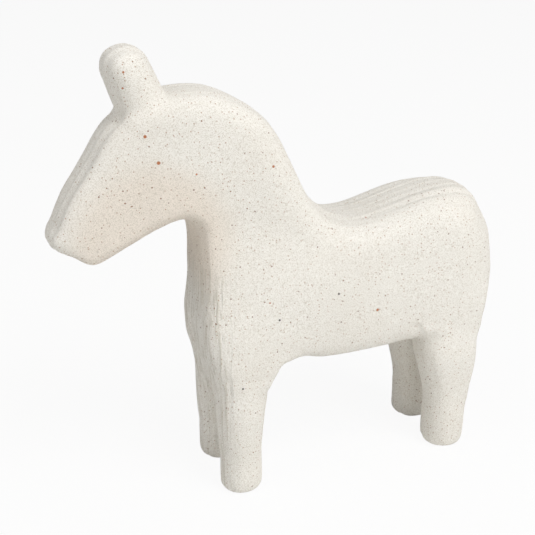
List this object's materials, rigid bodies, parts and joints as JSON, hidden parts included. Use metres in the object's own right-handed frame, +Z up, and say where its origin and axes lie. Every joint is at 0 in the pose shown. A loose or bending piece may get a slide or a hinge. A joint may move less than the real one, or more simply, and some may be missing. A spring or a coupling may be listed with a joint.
{
  "type": "ceramic horse ornament",
  "caption": "Standing hollow stoneware horse ornament with a slab-like body, a tall arched neck, one stub ear and plain round legs.",
  "frame": {"origin": "on the ground under the middle of the figure's bounding box", "axes": "+X towards the rump, so the head points to -X; +Y towards the animal's right side; +Z up"},
  "size_m": [0.2035, 0.0528, 0.2014],
  "materials": {
    "stoneware": "matt",
    "raw_clay": "rough"
  },
  "bodies": {
    "root": {"trunk_left_shell": "stoneware", "trunk_right_shell": "stoneware", "head_neck_left_shell": "stoneware", "head_neck_right_shell": "stoneware", "ear": "stoneware", "front_left_leg": "stoneware", "front_right_leg": "stoneware", "hind_left_leg": "stoneware", "hind_right_leg": "stoneware", "trunk_seam_coil": "raw_clay", "neck_seam_coil": "raw_clay"}
  },
  "joints": []
}
